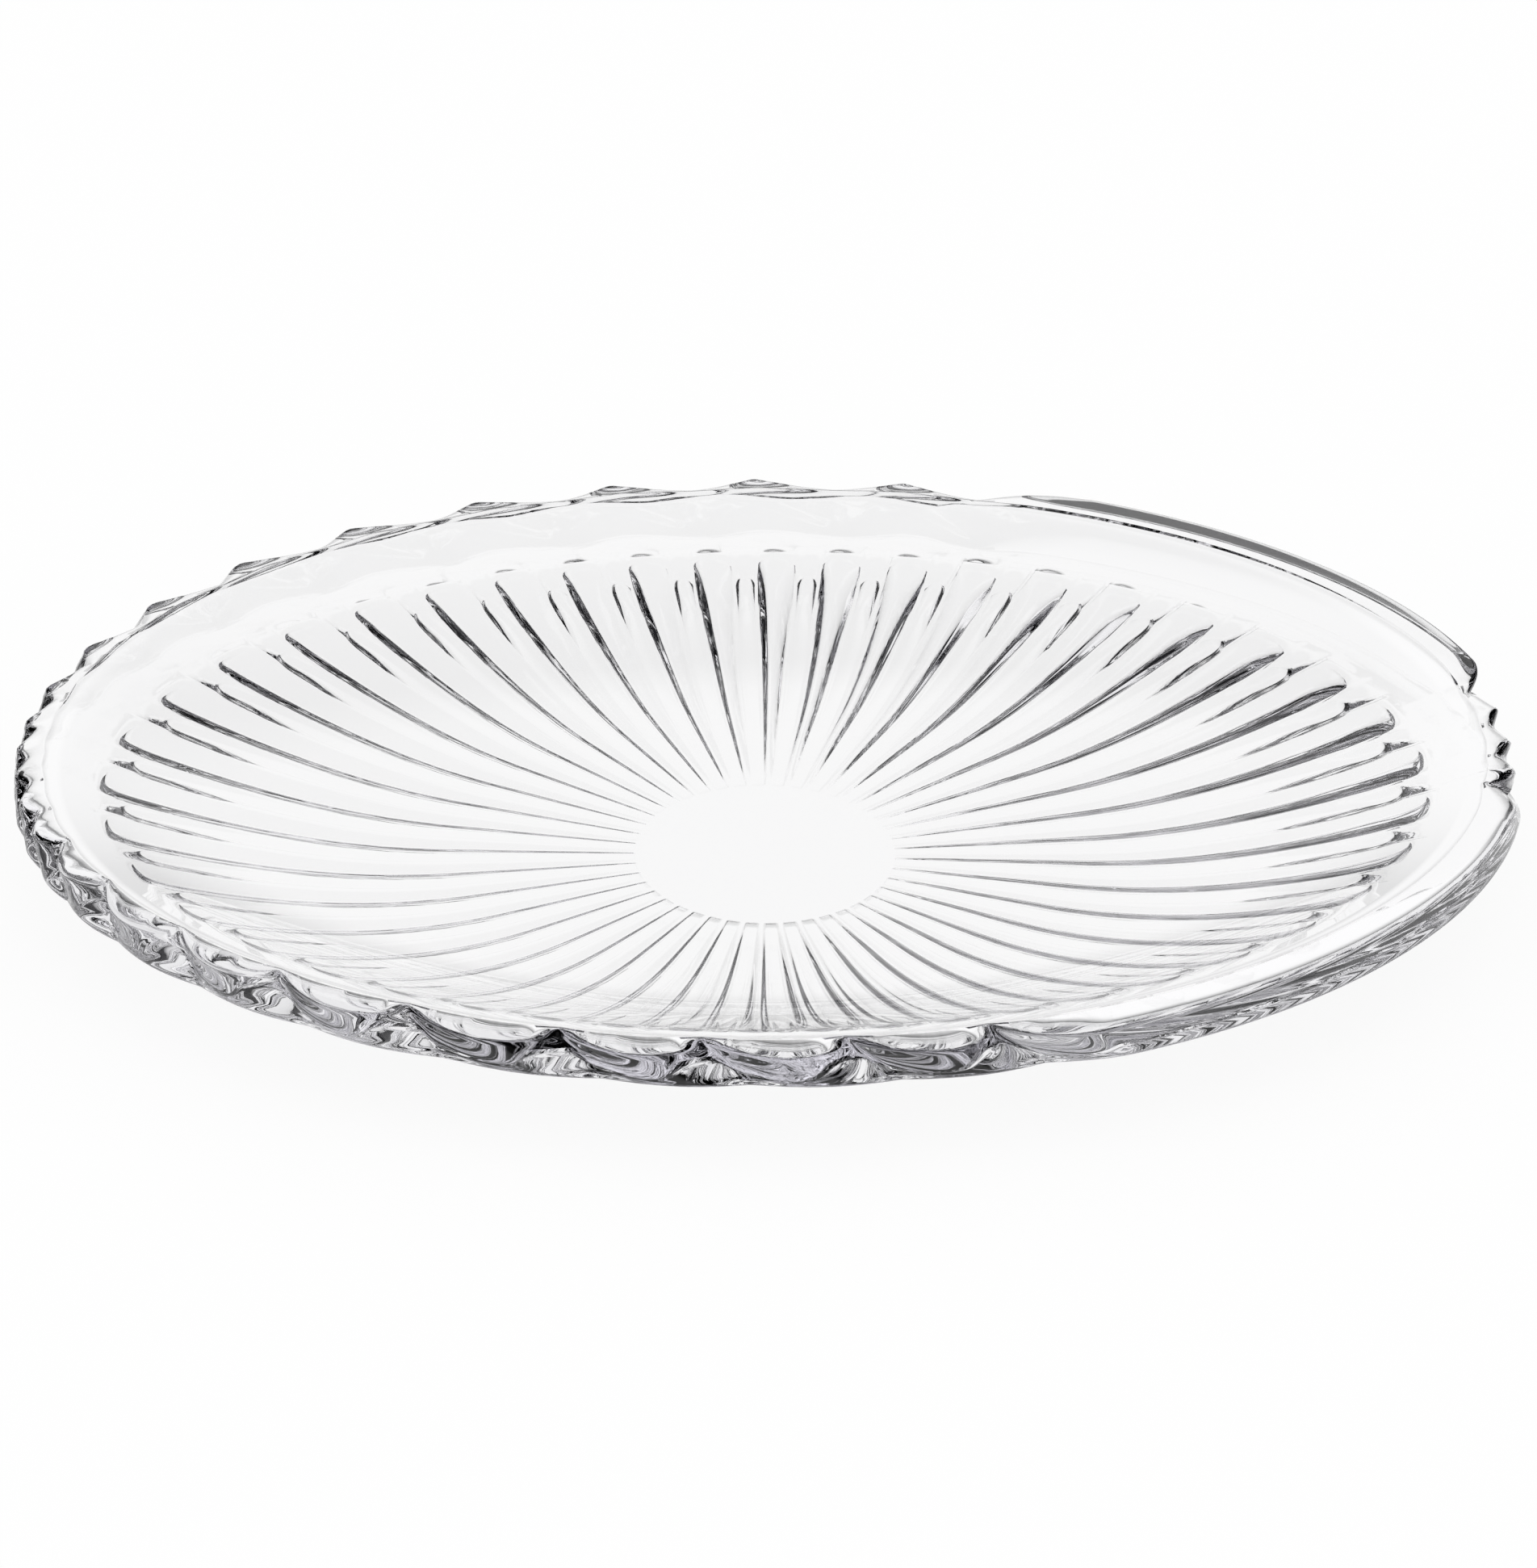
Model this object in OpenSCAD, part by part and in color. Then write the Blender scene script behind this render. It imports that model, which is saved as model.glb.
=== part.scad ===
// Oval glass dessert plate, pressed in one piece.
// The well is smooth on top. Narrow round-ended ribs radiate on the underside from a clear
// disc, with a shallow petal between each two ribs. The thick rim is scalloped: its lobes
// turn round the plate as they go down the wall and fade towards its foot. Narrow beads lie
// at both ends, and one long plain arc on each side towards the right end.
// Origin: middle of the flat base, on the surface that the plate stands on. +X runs along
// the plate to the beaded end beside the plain arcs, +Z is up.

/* [Overall size] */
// Length of the plate over the rim beads
plate_length = 200; // [180:1:240]
// Width of the plate over the rim, without the bulge of the plain arcs
plate_width = 146; // [136:1:170]
// Height of the rim above the base
plate_height = 17.2; // [15:0.1:24]

/* [Well] */
// Thickness of the glass in the flat floor
floor_thickness = 4; // [3:0.1:5]
// Length of the flat floor before the bowl starts to rise
floor_length = 88; // [60:1:110]
// Rise of the well from the floor to the outer ends of the ribs
well_rise = 10.5; // [8:0.1:11]
// Rise of the ribs' undersides from the base to their outer ends
under_rise = 8.6; // [7:0.1:9]
// How fast the bowl steepens: 1 is a cone, 2 is a parabola
bowl_power = 1.86; // [1.4:0.02:2.4]

/* [Rim] */
// Width of the flat lip at the crest of a scallop
lip_width = 3.8; // [3:0.1:5]
// Width of the lip that is left in a valley between two scallops
valley_lip_width = 0.6; // [0.5:0.1:2]
// Height of the outer wall of the rim
wall_height = 6; // [4:0.1:6.5]
// Depth of the rounding that runs from the lip's flat down to the wall
lip_rounding = 0.7; // [0.3:0.1:1.2]
// Rounding of the wall's lower edge
foot_rounding = 1.2; // [0.5:0.1:1.6]
// How far the long plain arcs stand out past the scallops
plain_bulge = 1.2; // [0:0.1:1.5]
// How far the lobes turn round the rim from the lip down to the foot of the wall
lobe_twist = 7; // [0:0.5:9]

/* [Ribs and petals] */
// Number of ribs round the well, with a petal between each two
rib_count = 44; // [36:1:48]
// Height of a rib at its outer end
rib_height = 1.2; // [0.6:0.1:1.6]
// Height of a petal at its outer end
petal_height = 1.1; // [0.2:0.1:1.2]
// Distance from the rim's crests to the outer ends of the ribs
border_width = 10.3; // [9:0.1:13]
// Length of the rounded end of a rib
rib_end_length = 3; // [1:0.1:4]
// Distance that a petal ends behind the ribs beside it
petal_setback = 1.2; // [0:0.1:3]
// Length of the rounded end of a petal
petal_end_length = 5; // [2:0.1:6]
// Length over which a rib or petal rises to its full height
rise_length = 3; // [1:0.1:4]
// Diameter of the clear disc in the middle of the base
clear_disc_diameter = 37; // [24:1:50]
// Width of the step between the clear disc and the ribs
disc_step = 0.5; // [0.2:0.1:1]

/* [Hidden] */

// Part of the pitch that a rib takes
rib_share = 0.42;
// Where a petal bends across its width, as a share of its half width
petal_bend_share = 0.6;
// Height that the ribs have left at the clear disc, as a share of their height
disc_height_share = 0.3;
// How fast the petals sink into the glass towards the clear disc
petal_fade_power = 5;
// Part of the lip's width that is rounded down to the wall
lip_rounding_share = 0.5;
// Angle of a lobe that gets the full scallop depth; narrower beads are shallower
full_lobe_angle = 11;
// Half of the angle over which a lobe climbs to its crest and falls from it
lobe_climb_angle = 6.5;
// Where the crest of a lobe lies between its two valleys
crest_share = 0.6;
// Part of the scallop depth that is lost at the foot of the wall
foot_fade_share = 0.75;
// Valleys between the lobes at the lip, as angles round the outline's ellipse
valley_angles = [-7, -2, 4.5, 11.2, 70.5, 82.5, 94, 105, 116, 127, 138, 148, 157.5, 165,
                 171, 176, 181.5, 187.5, 194, 203, 214.5, 226, 238.5, 251.5, 263, 274.5, 286];
// Rings of the well and of the underside, as shares of the way out to the rib ends
well_ring_shares = [0.49, 0.64, 0.78, 0.9, 1];
under_ring_shares = [0.8, 0.6, 0.42, 0.25, 0.1];
// Rings of the rounded lip and of the rising rib ends, as angles of a quarter turn
quarter_angles = [0, 45, 90];
// Rings of the wall below the rounded lip, as shares of its height
wall_ring_shares = [0.45, 0.8];

outline_axes = [plate_length / 2, plate_width / 2];
lip_axes = outline_axes - [lip_width, lip_width];
tip_axes = outline_axes - [border_width, border_width];
disc_axes = [clear_disc_diameter / 2, clear_disc_diameter / 2];
disc_radius = clear_disc_diameter / 2;
floor_share = floor_length / 2 / tip_axes[0];
half_petal = (1 - rib_share) / 2;
phases = [-half_petal, -half_petal * petal_bend_share, 0, half_petal * petal_bend_share,
          half_petal, 0.5];
columns = [for (k = [0 : rib_count - 1]) for (p = phases) [360 * (k + p) / rib_count, p]];
column_count = len(columns);

// Distance from the centre to an ellipse with half axes e, in the direction angle
function ellipse_radius(e, angle) = 1 / norm([cos(angle) / e[0], sin(angle) / e[1]]);

// Angle round the outline's ellipse of the point in the direction angle, from the first valley
function rim_angle(angle) =
    let (t = atan2(sin(angle) / outline_axes[1], cos(angle) / outline_axes[0]))
    (t - valley_angles[0] + 720) % 360 + valley_angles[0];

// Angle round the ellipse that a length along the rim takes up
function rim_turn(t, length) =
    length / norm([outline_axes[0] * sin(t), outline_axes[1] * cos(t)]) * 180 / PI;

// The valleys before and after an angle, where the list closes round the ellipse
function valley_before(t) = max([for (v = valley_angles) if (v <= t) v]);
function valley_after(t) = min([for (v = concat(valley_angles, [valley_angles[0] + 360])) if (v > t) v]);

// Height of a lobe at an angle, from 0 in a valley to 1 at its crest
function lobe(t, low, high) =
    let (climb = min(high - low, 2 * lobe_climb_angle))
    sin(90 * min(1, min((t - low) / crest_share, (high - t) / (1 - crest_share)) / climb));

// How far the rim stands off its ellipse at an angle, with part of the scallop depth left
function lobe_offset(angle, depth_share) =
    let (t = (angle - valley_angles[0] + 720) % 360 + valley_angles[0])
    let (low = valley_before(t), high = valley_after(t), height = lobe(t, low, high))
    let (depth = (lip_width - valley_lip_width) * min(1, (high - low) / full_lobe_angle))
    (high - low > 4 * lobe_climb_angle ? plain_bulge * height : 0) - depth_share * depth * (1 - height);

// Distance from the centre to the outline at a drop below the lip
function outline_radius(angle, drop) =
    let (share = drop / wall_height, t = rim_angle(angle))
    let (depth_share = 1 - foot_fade_share * pow(share, 1.5))
    ellipse_radius(outline_axes, angle) + lobe_offset(t - rim_turn(t, lobe_twist * share), depth_share);

// Rise of a bowl at a distance from the centre, with its rise at the rib ends given
function bowl_rise(angle, radius, rise) =
    let (share = radius / ellipse_radius(tip_axes, angle))
    rise * pow(max(0, (share - floor_share) / (1 - floor_share)), bowl_power);

// Height of a petal and of a rib across the pitch, as a share of the height on its middle line
function petal_profile(phase) = max(0, 1 - pow(phase / half_petal, 2));
function rib_profile(phase) =
    abs(phase) < half_petal ? 0 : 1 - pow((0.5 - abs(phase)) / (0.5 - half_petal), 2);

// How far the rounded ends draw a column in from the rib ends
function round_end(across, length) = length * (1 - sqrt(1 - pow(min(1, across), 2)));
function end_inset(phase) =
    abs(phase) < half_petal
    ? petal_setback + round_end(abs(phase) / half_petal, petal_end_length)
    : round_end((0.5 - abs(phase)) / (0.5 - half_petal), rib_end_length);

// Distance from the centre to where a column has reached its full height
function full_radius(c) = ellipse_radius(tip_axes, c[0]) - end_inset(c[1]) - rise_length;

// Underside at a distance from the centre, with part of the ribs' and petals' height
function underside(c, radius, height_share) =
    let (share = (radius - disc_radius) / (full_radius(c) - disc_radius))
    let (rib = rib_height * (disc_height_share + (1 - disc_height_share) * share))
    let (petal = petal_height * pow(share, petal_fade_power))
    bowl_rise(c[0], radius, under_rise) + rib
    - height_share * (rib * rib_profile(c[1]) + petal * petal_profile(c[1]));

function polar(angle, radius, z) = [radius * cos(angle), radius * sin(angle), z];

// Rings of points, one point for each column
function well_ring(share) = [
    for (c = columns)
        let (r = share * ellipse_radius(tip_axes, c[0]))
        polar(c[0], r, floor_thickness + bowl_rise(c[0], r, well_rise))
];
function lip_ring() = [for (c = columns) polar(c[0], ellipse_radius(lip_axes, c[0]), plate_height)];
function round_lip_ring(quarter) = [
    for (c = columns)
        let (drop = lip_rounding * (1 - cos(quarter)), inner = ellipse_radius(lip_axes, c[0]))
        let (width = outline_radius(c[0], drop) - inner)
        polar(c[0], inner + width * (1 - lip_rounding_share * (1 - sin(quarter))), plate_height - drop)
];
function wall_ring(inset, drop) = [
    for (c = columns) polar(c[0], outline_radius(c[0], drop) - inset, plate_height - drop)
];
function border_ring() = [
    for (c = columns)
        let (wall = ellipse_radius(lip_axes, c[0]), tip = ellipse_radius(tip_axes, c[0]))
        polar(c[0], (wall + tip) / 2, (plate_height - wall_height + under_rise + rib_height) / 2)
];
function end_ring(quarter) = [
    for (c = columns)
        let (r = full_radius(c) + rise_length * cos(quarter))
        polar(c[0], r, underside(c, r, sin(quarter)))
];
function under_ring(share) = [
    for (c = columns)
        let (r = disc_radius + share * (full_radius(c) - disc_radius))
        polar(c[0], r, underside(c, r, 1))
];
function disc_ring() = [for (c = columns) polar(c[0], disc_radius - disc_step, 0)];

rings = concat(
    [for (s = well_ring_shares) well_ring(s)],
    [lip_ring()],
    [for (q = quarter_angles) round_lip_ring(q)],
    [for (s = wall_ring_shares) wall_ring(0, s * wall_height)],
    [wall_ring(foot_rounding, wall_height), border_ring()],
    [for (q = quarter_angles) end_ring(q)],
    [for (s = under_ring_shares) under_ring(s)],
    [under_ring(0), disc_ring()]
);

// Skins the rings into one closed surface, with a fan at the well floor and one at the base
module skin(rings, top, bottom) {
    n = column_count;
    last = len(rings) - 1;
    points = concat([for (r = rings) for (p = r) p], [top, bottom]);
    top_fan = [for (j = [0 : n - 1]) [len(points) - 2, (j + 1) % n, j]];
    bottom_fan = [for (j = [0 : n - 1]) [len(points) - 1, last * n + j, last * n + (j + 1) % n]];
    strips = [
        for (i = [0 : last - 1]) for (j = [0 : n - 1])
            let (a = i * n + j, b = i * n + (j + 1) % n)
            each [[a, b, b + n], [a, b + n, a + n]]
    ];
    polyhedron(points, concat(top_fan, strips, bottom_fan), convexity = 6);
}

module plate() {
    color([0.86, 0.88, 0.92, 0.5])
        skin(rings, [0, 0, floor_thickness], [0, 0, 0]);
}

plate();
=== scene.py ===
import math

import bpy
import numpy as np
from mathutils import Matrix, Vector


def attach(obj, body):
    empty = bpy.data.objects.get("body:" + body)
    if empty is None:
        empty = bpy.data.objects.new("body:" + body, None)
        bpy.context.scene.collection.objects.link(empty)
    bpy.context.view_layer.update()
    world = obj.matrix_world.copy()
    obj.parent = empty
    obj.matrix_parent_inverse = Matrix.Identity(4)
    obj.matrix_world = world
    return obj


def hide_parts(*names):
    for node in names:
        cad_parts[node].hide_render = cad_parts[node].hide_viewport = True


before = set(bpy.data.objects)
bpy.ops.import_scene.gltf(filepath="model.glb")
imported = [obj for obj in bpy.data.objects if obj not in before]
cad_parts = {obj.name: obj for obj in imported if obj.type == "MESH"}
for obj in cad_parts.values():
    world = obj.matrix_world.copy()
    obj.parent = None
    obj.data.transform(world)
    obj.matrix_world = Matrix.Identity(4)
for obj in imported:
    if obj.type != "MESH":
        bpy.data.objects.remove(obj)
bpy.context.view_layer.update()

# Plate
# One pressing of clear glass. The mould gave it the ribs and petals under the well and the
# turned scallops of the rim, and the plunger the smooth upper face. Fire polish rounded the edges.
# Lengths are in millimetres until the skin is made.
MM = 0.001
LENGTH, WIDTH, HEIGHT = 200, 146, 17.2
LIP_WIDTH = 3.8
BORDER_WIDTH = 10.3
RIB_COUNT = 44
COLUMNS_PER_RIB = 28


def ellipse_radius(inset, angle):
    """Distance from the centre to the plate's ellipse, drawn in by inset, in the direction
    angle: one over the length of (cos / half length, sin / half width)."""
    return 1 / np.hypot(np.cos(angle) / (LENGTH / 2 - inset), np.sin(angle) / (WIDTH / 2 - inset))


# Columns round the plate. Phase is the place in the pitch: 0 in the middle of a petal, and a
# half either way in the middle of a rib.
pitch_places = np.arange(COLUMNS_PER_RIB) / COLUMNS_PER_RIB - 0.5
theta = ((np.arange(RIB_COUNT)[:, None] + pitch_places) * 2 * math.pi / RIB_COUNT).ravel()
phase = np.tile(pitch_places, RIB_COUNT)
outline_r = ellipse_radius(0, theta)
lip_r = ellipse_radius(LIP_WIDTH, theta)
tip_r = ellipse_radius(BORDER_WIDTH, theta)

# The ellipse's own angle at each column, from the +X end, and the rim's length in one degree
ellipse_angle = np.degrees(np.arctan2(np.sin(theta) / (WIDTH / 2),
                                      np.cos(theta) / (LENGTH / 2))) % 360
mm_per_degree = np.radians(1) * np.hypot(LENGTH / 2 * np.sin(np.radians(ellipse_angle)),
                                         WIDTH / 2 * np.cos(np.radians(ellipse_angle)))
rings = []


def add_ring(radius, height):
    """One ring of the skin: a radius and a height at each column."""
    rings.append((radius * np.ones_like(theta), height * np.ones_like(theta)))


# Smooth upper face: flat floor, bowl and sloping border, as shares of the way out
FLOOR_THICKNESS = 4
FLOOR_SHARE = 0.4905
WELL_RISE, BOWL_POWER = 10.5, 1.86
FLOOR_RINGS, BOWL_RINGS = [0.12, 0.24, 0.36, 0.44], np.linspace(0.49, 1, 14)
BORDER_RINGS = (0.3, 0.6, 0.85)


def bowl(radius, rise):
    """Rise of a bowl: a power of how far the radius lies between the flat floor and the tips."""
    return rise * np.clip((radius / tip_r - FLOOR_SHARE) / (1 - FLOOR_SHARE), 0, None) ** BOWL_POWER


for s in np.concatenate([FLOOR_RINGS, BOWL_RINGS]):
    add_ring(s * tip_r, FLOOR_THICKNESS + bowl(s * tip_r, WELL_RISE))
well_edge = FLOOR_THICKNESS + WELL_RISE
for s in BORDER_RINGS:
    add_ring(tip_r + s * (lip_r - tip_r), well_edge + s * (HEIGHT - well_edge))

# Scallops of the rim. Valleys are in degrees of the ellipse's own angle, at the lip.
VALLEYS = np.array([-7, -2, 4.5, 11.2, 70.5, 82.5, 94, 105, 116, 127, 138, 148, 157.5, 165,
                    171, 176, 181.5, 187.5, 194, 203, 214.5, 226, 238.5, 251.5, 263, 274.5, 286])
SCALLOP_DEPTH = 3.2
FULL_LOBE = 11
CLIMB = 6.5
CREST_SHARE = 0.53
POINTED, POINTED_BLEND = 0.8, 2
PLAIN_BULGE = 1.05


def lobe_offset(degrees, fade=1):
    """Offset of the rim from its ellipse at an ellipse angle: zero on a lobe's crest, less in the
    valleys, and above zero on the long plain arcs. Each side of a lobe is a quarter sine from its
    valley to its crest, and on the far side mostly one minus a quarter cosine, which is pointed."""
    edges = np.append(VALLEYS, VALLEYS[0] + 360)
    place = (degrees - edges[0]) % 360 + edges[0]
    lobe = np.clip(np.searchsorted(edges, place, side="right") - 1, 0, len(edges) - 2)
    low, high = edges[lobe], edges[lobe + 1]
    wide = high - low
    plain = wide > 4 * CLIMB
    slopes = np.minimum(wide, 2 * CLIMB)
    climb = np.minimum(1, np.minimum((place - low) / (CREST_SHARE * slopes),
                                     (high - place) / ((1 - CREST_SHARE) * slopes)))
    far = np.clip(0.5 + POINTED_BLEND * np.sin(np.radians(place)), 0, 1)
    pointed = np.where(plain, 0, POINTED * far)
    round_crest = np.sin(climb * math.pi / 2)
    pointed_crest = 1 - np.cos(climb * math.pi / 2)
    crest = (1 - pointed) * round_crest + pointed * pointed_crest
    depth = SCALLOP_DEPTH * np.minimum(1, wide / FULL_LOBE)
    return np.where(plain, PLAIN_BULGE, 0) * crest - fade * depth * (1 - crest)


# Inner edge of the lip, a little wavy where the scallops are
LIP_EDGE_ROUND, LIP_EDGE_DROP = 0.5, 0.35
INNER_FOLLOW = 0.15
inner_r = lip_r + INNER_FOLLOW * lobe_offset(ellipse_angle)
for a in np.radians([0, 30, 60, 90]):
    add_ring(inner_r + LIP_EDGE_ROUND * (math.sin(a) - 0.5),
             HEIGHT - LIP_EDGE_DROP * (1 - math.sin(a)) ** 2)

# Outer edge of the lip: flat with a short rounding on the plain arcs, crowned over the lobes,
# and falling most at the +X end
FAR_ARC, NEAR_ARC, ARC_BLEND = (14, 66), (289, 350), 4
PLAIN_LIP_DROP, LOBED_LIP_DROP = 0.5, 1.0
END_LIP_DROP, END_SPREAD = 1.4, 12
PLAIN_LIP_SHARE, LOBED_LIP_SHARE = 0.35, 0.9


def on_arc(start, end):
    """One on a plain arc of the rim and zero off it, with a straight blend inside both ends."""
    return (np.clip((ellipse_angle - start) / ARC_BLEND, 0, 1)
            * np.clip((end - ellipse_angle) / ARC_BLEND, 0, 1))


lobed = 1 - on_arc(*FAR_ARC) - on_arc(*NEAR_ARC)
at_end = np.exp(-(((ellipse_angle + 180) % 360 - 180) / END_SPREAD) ** 2)
lip_drop = (PLAIN_LIP_DROP + (LOBED_LIP_DROP - PLAIN_LIP_DROP) * lobed
            + END_LIP_DROP * at_end)
lip_share = PLAIN_LIP_SHARE + (LOBED_LIP_SHARE - PLAIN_LIP_SHARE) * lobed

# Outer wall
WALL_HEIGHT, FOOT_ROUND = 5.55, 0.6
TWIST = 7
FOOT_FADE, FOOT_FADE_POWER = 0.75, 1.5
LIP_STEPS, WALL_STEPS, FOOT_STEPS = 8, 7, 5


def wall(drop):
    """Radius of the wall at a drop below the lip: the lobes turn round the rim and fade as they
    go down."""
    share = drop / WALL_HEIGHT
    turned = ellipse_angle - TWIST * share / mm_per_degree
    return outline_r + lobe_offset(turned, 1 - FOOT_FADE * share ** FOOT_FADE_POWER)


for a in np.radians(np.linspace(0, 90, LIP_STEPS)):
    drop = lip_drop * (1 - math.cos(a))
    width = wall(drop) - inner_r
    add_ring(inner_r + width * (1 - lip_share * (1 - math.sin(a))), HEIGHT - drop)
for s in np.linspace(0, 1, WALL_STEPS + 1)[1:]:
    drop = lip_drop + s * (WALL_HEIGHT - FOOT_ROUND - lip_drop)
    add_ring(wall(drop), HEIGHT - drop)
for a in np.radians(np.linspace(0, 90, FOOT_STEPS + 1))[1:]:
    drop = WALL_HEIGHT - FOOT_ROUND * (1 - math.sin(a))
    add_ring(wall(drop) - FOOT_ROUND * (1 - math.cos(a)), HEIGHT - drop)

# Underside of the border, falling inwards from the wall's foot to the tips of the ribs. On the
# near side the valleys of the wall run on into it as shallow leaf-shaped grooves.
TIP_LEVEL = 9.4
LEAF_DEPTH, LEAF_START, LEAF_END = 0.8, 0.2, 0.5
LEAF_TWIST = 10
LEAF_SIDE = 0.3
UNDER_BORDER_RINGS = (0.04, 0.1, 0.18, 0.27, 0.36, 0.45, 0.56, 0.68, 0.8, 0.9)
foot_r, foot_z = rings[-1]
near_side = np.clip(LEAF_SIDE - np.sin(theta), 0, 1)
for s in UNDER_BORDER_RINGS:
    turned = ellipse_angle - (TWIST + LEAF_TWIST * s) / mm_per_degree
    groove = np.clip(-lobe_offset(turned) / SCALLOP_DEPTH, 0, 1)
    fade = np.clip(1 - s / LEAF_END, 0, 1) * min(1, s / LEAF_START)
    add_ring(foot_r + s * (tip_r - foot_r),
             foot_z + s * (TIP_LEVEL - foot_z) + LEAF_DEPTH * fade * groove * near_side)

# Ribs and petals. A rib leans to one side and widens outwards; a petal ends behind its ribs.
# Both rise from the border in a rounded end and sink away towards the clear disc.
UNDER_RISE = 8.1
DISC_RADIUS, DISC_STEP, DISC_HEIGHT_SHARE = 17.5, 1, 0.04
RIB_SHARE_OUT, RIB_SHARE_IN, SPREAD_POWER = 0.62, 0.42, 4
RIB_DROP, RIB_POWER, RIB_FADE, RIB_LEAN = 1.4, 1.5, 1.2, 0.3
RIB_TIP, RIB_RISE = 2.2, 4.5
PETAL_POWER, PETAL_FADE = 2, 10
PETAL_SETBACK, PETAL_TIP, PETAL_RISE = 2.8, 3.5, 5
PETAL_DROP, PETAL_DROP_RIGHT, PETAL_DROP_LEFT, PETAL_DROP_NEAR = 0.5, 1.7, 0.6, 0.8
END_POWER, SIDE_POWER = 4, 2
END_STEPS, DISC_STEP_ANGLES = 8, [30, 60, 90]
RIB_RINGS = (0.97, 0.93, 0.88, 0.82, 0.75, 0.67, 0.59, 0.5, 0.4, 0.3, 0.2, 0.1, 0.04, 0)


def across(half_petal):
    """Place across a petal and across a rib where a petal takes this half width of the pitch: the
    distance from the crest as a share of the distance from the crest to the notch between them."""
    half_rib = 0.5 - half_petal
    off_crest = phase % 1 - 0.5 - RIB_LEAN * half_rib
    over_petal = np.minimum(1, np.abs(phase) / half_petal)
    over_rib = np.minimum(1, np.abs(off_crest) / (half_rib * (1 - RIB_LEAN * np.sign(off_crest))))
    return over_petal, over_rib


def round_end(length, place):
    """How far a rounded end draws back at a place across it: a quarter circle, stretched."""
    return length * (1 - np.sqrt(1 - place ** 2))


half_tip = (1 - RIB_SHARE_OUT) / 2
on_petal = np.abs(phase) < half_tip
tip_petal, tip_rib = across(half_tip)
draw_back = np.where(on_petal, PETAL_SETBACK + round_end(PETAL_TIP, tip_petal),
                     round_end(RIB_TIP, tip_rib))
rise_length = np.where(on_petal, PETAL_RISE, RIB_RISE)
full_r = tip_r - draw_back - rise_length
petal_drop = (PETAL_DROP + PETAL_DROP_RIGHT * np.clip(np.cos(theta), 0, 1) ** END_POWER
              + PETAL_DROP_LEFT * np.clip(-np.cos(theta), 0, 1) ** END_POWER
              + PETAL_DROP_NEAR * np.clip(-np.sin(theta), 0, 1) ** SIDE_POWER)


def underside(radius, height_share):
    """Height of the underside at a radius: a bowl, with the ribs and petals standing down from
    the notches between them. Both lose height by a power of the radius towards the clear disc."""
    share = (radius - DISC_RADIUS) / (full_r - DISC_RADIUS)
    spread = (RIB_SHARE_OUT - RIB_SHARE_IN) * np.clip(share, 0, 1) ** SPREAD_POWER
    half_petal = 0.5 - 0.5 * (RIB_SHARE_IN + spread)
    over_petal, over_rib = across(half_petal)
    petal_here = np.abs(phase) < half_petal
    petal = np.where(petal_here, petal_drop * (1 - over_petal ** PETAL_POWER), 0)
    rib = np.where(petal_here, 0, RIB_DROP * (1 - over_rib ** RIB_POWER))
    rib_share = DISC_HEIGHT_SHARE + (1 - DISC_HEIGHT_SHARE) * share ** RIB_FADE
    notch = bowl(radius, UNDER_RISE) + RIB_DROP * rib_share
    return notch - height_share * (rib * rib_share + petal * share ** PETAL_FADE)


for quarter in np.linspace(0, math.pi / 2, END_STEPS):
    r = full_r + rise_length * math.cos(quarter)
    add_ring(r, underside(r, math.sin(quarter)))
for s in RIB_RINGS:
    r = DISC_RADIUS + s * (full_r - DISC_RADIUS)
    add_ring(r, underside(r, 1))
disc_edge = rings[-1][1]
for a in np.radians(DISC_STEP_ANGLES):
    add_ring(DISC_RADIUS - DISC_STEP * (1 - math.cos(a)), disc_edge * (1 - math.sin(a)))


def skin(name, rings, top, bottom):
    """A closed mesh from rings of points, with a fan of triangles at each pole."""
    count, n = len(rings), len(theta)
    r = np.array([ring[0] for ring in rings])
    z = np.array([ring[1] for ring in rings])
    points = np.stack([r * np.cos(theta), r * np.sin(theta), z], -1).reshape(-1, 3)
    points = np.vstack([points, [[0, 0, top], [0, 0, bottom]]]) * MM
    i, j = np.meshgrid(np.arange(count - 1), np.arange(n), indexing="ij")
    k = (j + 1) % n
    strips = np.stack([i * n + j, (i + 1) * n + j, (i + 1) * n + k, i * n + k], -1).reshape(-1, 4)
    j = np.arange(n)
    k = (j + 1) % n
    last = (count - 1) * n
    top_fan = np.stack([np.full(n, count * n), j, k], -1)
    bottom_fan = np.stack([np.full(n, count * n + 1), last + k, last + j], -1)
    mesh = bpy.data.meshes.new(name)
    mesh.from_pydata(points.tolist(), [], strips.tolist() + top_fan.tolist() + bottom_fan.tolist())
    mesh.shade_smooth()
    body = bpy.data.objects.new(name, mesh)
    bpy.context.scene.collection.objects.link(body)
    return body


plate = skin("pressed_plate", rings, FLOOR_THICKNESS, 0)

# Clear glass with a faint lilac tint in its depth. Light that is still caught in it after this
# many bounces counts as lost, which draws the dark lines of the relief.
GLASS_IOR = 1.52
GLASS_TINT, TINT_DENSITY = (0.93, 0.92, 0.97, 1), 12
GLASS_BOUNCES = 10
glass = bpy.data.materials.new("pressed_glass")
glass.use_nodes = True
nodes, links = glass.node_tree.nodes, glass.node_tree.links
surface = nodes["Principled BSDF"]
surface.inputs["Base Color"].default_value = (1, 1, 1, 1)
surface.inputs["Roughness"].default_value = 0.0
surface.inputs["IOR"].default_value = GLASS_IOR
surface.inputs["Transmission Weight"].default_value = 1
inside = nodes.new("ShaderNodeVolumeAbsorption")
inside.inputs["Color"].default_value = GLASS_TINT
inside.inputs["Density"].default_value = TINT_DENSITY
links.new(inside.outputs["Volume"], nodes["Material Output"].inputs["Volume"])
bpy.context.scene.cycles.max_bounces = GLASS_BOUNCES
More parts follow.
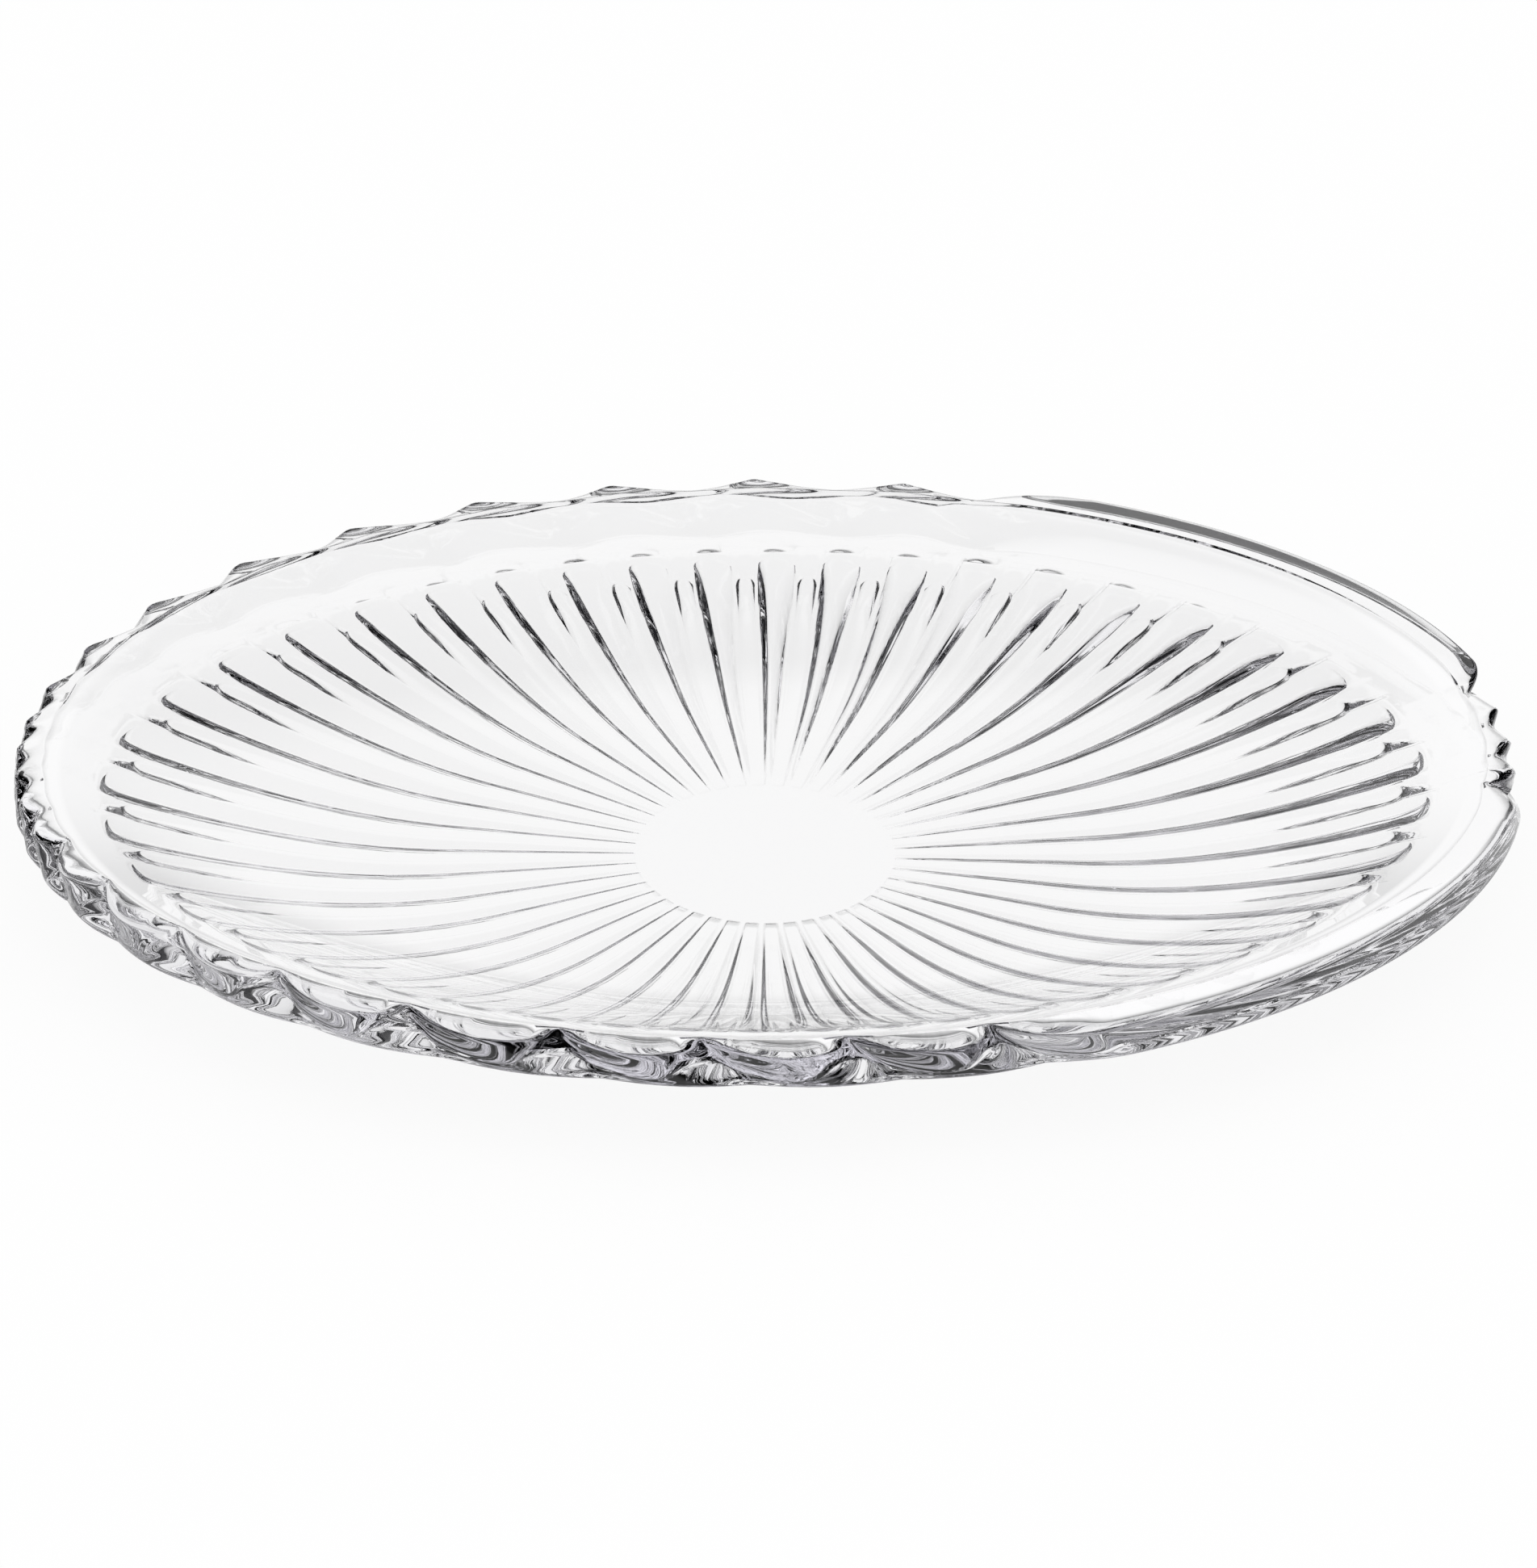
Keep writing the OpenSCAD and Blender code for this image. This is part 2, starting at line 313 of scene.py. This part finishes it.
bpy.context.scene.cycles.glossy_bounces = GLASS_BOUNCES
bpy.context.scene.cycles.transmission_bounces = GLASS_BOUNCES
plate.data.materials.append(glass)
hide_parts("plate")
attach(plate, "root")

# Floor
# A white sheet under the plate, matt, lying a hair below the base. The camera sees it evenly white
# everywhere. Rays through or off the glass see it glow as a painted pool of light below and round
# the plate, with painted dark farther out.
FLOOR_HALF, FLOOR_DROP = 3, 0.0002
SHEET_ROUGHNESS, SHEET_GLOW = 0.9, 0.92
# Size and fall-off of the painted pool of light that the glass sees on the sheet, and the glow left
# beyond it
LIGHT_POOL_HALF_AXES = (0.1, 0.073)
LIGHT_POOL_START, LIGHT_POOL_END, LIGHT_POOL_BEYOND = 1.5, 2.1, 0.03
sheet = bpy.data.meshes.new("floor")
corners = [(x * FLOOR_HALF, y * FLOOR_HALF, -FLOOR_DROP)
           for x, y in ((-1, -1), (1, -1), (1, 1), (-1, 1))]
sheet.from_pydata(corners, [], [(0, 1, 2, 3)])
floor = bpy.data.objects.new("floor", sheet)
bpy.context.scene.collection.objects.link(floor)
paper = bpy.data.materials.new("white_sheet")
paper.use_nodes = True
nodes, links = paper.node_tree.nodes, paper.node_tree.links
matt = nodes["Principled BSDF"]
matt.inputs["Base Color"].default_value = (1, 1, 1, 1)
matt.inputs["Roughness"].default_value = SHEET_ROUGHNESS

# Painted pool of light: the sheet's glow for rays from the glass at a place, one near the plate,
# falling off to painted dark with the distance from the middle in half axes of the plate
spot = nodes.new("ShaderNodeTexCoord")
stretch = nodes.new("ShaderNodeVectorMath")
stretch.operation = "MULTIPLY"
stretch.inputs[1].default_value = (1 / LIGHT_POOL_HALF_AXES[0], 1 / LIGHT_POOL_HALF_AXES[1], 0)
links.new(spot.outputs["Object"], stretch.inputs[0])
reach = nodes.new("ShaderNodeVectorMath")
reach.operation = "LENGTH"
links.new(stretch.outputs["Vector"], reach.inputs[0])
near = nodes.new("ShaderNodeMapRange")
near.inputs["From Min"].default_value = LIGHT_POOL_START
near.inputs["From Max"].default_value = LIGHT_POOL_END
near.inputs["To Min"].default_value = 1
near.inputs["To Max"].default_value = LIGHT_POOL_BEYOND
links.new(reach.outputs["Value"], near.inputs["Value"])

# The glow of the sheet: evenly white for the camera, and the painted pool of light for rays that
# come through or off the glass
path = nodes.new("ShaderNodeLightPath")
glassy = nodes.new("ShaderNodeMath")
glassy.operation = "MAXIMUM"
links.new(path.outputs["Is Glossy Ray"], glassy.inputs[0])
links.new(path.outputs["Is Transmission Ray"], glassy.inputs[1])
strength = nodes.new("ShaderNodeMath")
strength.operation = "MULTIPLY_ADD"
links.new(glassy.outputs[0], strength.inputs[0])
links.new(near.outputs[0], strength.inputs[1])
links.new(path.outputs["Is Camera Ray"], strength.inputs[2])
glow = nodes.new("ShaderNodeEmission")
links.new(strength.outputs[0], glow.inputs["Strength"])
seen = nodes.new("ShaderNodeMath")
seen.operation = "MAXIMUM"
links.new(path.outputs["Is Camera Ray"], seen.inputs[0])
links.new(glassy.outputs[0], seen.inputs[1])
glow_share = nodes.new("ShaderNodeMath")
glow_share.operation = "MULTIPLY"
glow_share.inputs[1].default_value = SHEET_GLOW
links.new(seen.outputs[0], glow_share.inputs[0])
blend = nodes.new("ShaderNodeMixShader")
links.new(glow_share.outputs[0], blend.inputs["Fac"])
links.new(matt.outputs[0], blend.inputs[1])
links.new(glow.outputs[0], blend.inputs[2])
links.new(blend.outputs[0], nodes["Material Output"].inputs["Surface"])
floor.data.materials.append(paper)

# Light
# A nearly dark room with one bright round panel high behind the plate, where flat glass mirrors
# it to the front. Matt surfaces get plain white light from all round instead.
PANEL_AXIS = (0.0, 0.848, 0.53)
PANEL_EDGES = (0.93, 0.97)
ROOM, PANEL = (0.015, 0.015, 0.0165, 1), (1, 1, 1, 1)
world = bpy.data.worlds.new("studio")
bpy.context.scene.world = world
world.use_nodes = True
nodes, links = world.node_tree.nodes, world.node_tree.links
sky = nodes["Background"]
coords = nodes.new("ShaderNodeTexCoord")
tilt = nodes.new("ShaderNodeVectorMath")
tilt.operation = "DOT_PRODUCT"
tilt.inputs[1].default_value = PANEL_AXIS
links.new(coords.outputs["Generated"], tilt.inputs[0])
toward = nodes.new("ShaderNodeMath")
toward.operation = "MULTIPLY_ADD"
toward.inputs[1].default_value = 0.5
toward.inputs[2].default_value = 0.5
links.new(tilt.outputs["Value"], toward.inputs[0])
panel = nodes.new("ShaderNodeValToRGB")
for stop, edge, colour in zip(panel.color_ramp.elements, PANEL_EDGES, (ROOM, PANEL)):
    stop.position, stop.color = edge, colour
links.new(toward.outputs[0], panel.inputs["Fac"])
ray = nodes.new("ShaderNodeLightPath")
plain_light = nodes.new("ShaderNodeMix")
plain_light.data_type = "RGBA"
plain_light.inputs["B"].default_value = (1, 1, 1, 1)
links.new(ray.outputs["Is Diffuse Ray"], plain_light.inputs["Factor"])
links.new(panel.outputs["Color"], plain_light.inputs["A"])
links.new(plain_light.outputs["Result"], sky.inputs["Color"])
sky.inputs["Strength"].default_value = 1

# Camera
# The photograph looks down on the plate at 32 degrees from four metres away, along the short
# axis and three degrees off it. Its middle lies a little above the plate's own middle.
VIEW_ELEVATION = math.radians(31.96)
VIEW_YAW = math.radians(2.97)
VIEW_ROLL = math.radians(0.65)
VIEW_DISTANCE = 4.06
FOCAL_PIXELS, PHOTO_HEIGHT = 37727, 1942
FILM_HEIGHT_MM = 36
CLIP_END = 20
AIM_HEIGHT = 0.0023
FRAME_SHIFT = (0.00043, 0.00941)
level = math.cos(VIEW_ELEVATION)
back = Vector((-level * math.sin(VIEW_YAW), -level * math.cos(VIEW_YAW), math.sin(VIEW_ELEVATION)))
right = Vector((math.cos(VIEW_YAW), -math.sin(VIEW_YAW), 0))
up = back.cross(right)
lens = bpy.data.cameras.new("camera")
lens.sensor_fit = "VERTICAL"
lens.sensor_height = FILM_HEIGHT_MM
lens.lens = FOCAL_PIXELS / PHOTO_HEIGHT * FILM_HEIGHT_MM
lens.clip_end = CLIP_END
camera = bpy.data.objects.new("camera", lens)
place = (Vector((0, 0, AIM_HEIGHT)) + right * FRAME_SHIFT[0] + up * FRAME_SHIFT[1]
         + back * VIEW_DISTANCE)
turn = Matrix((right, up, back)).transposed() @ Matrix.Rotation(VIEW_ROLL, 3, "Z")
camera.matrix_world = Matrix.Translation(place) @ turn.to_4x4()
bpy.context.scene.collection.objects.link(camera)
bpy.context.scene.camera = camera
bpy.context.scene.view_settings.view_transform = "Standard"
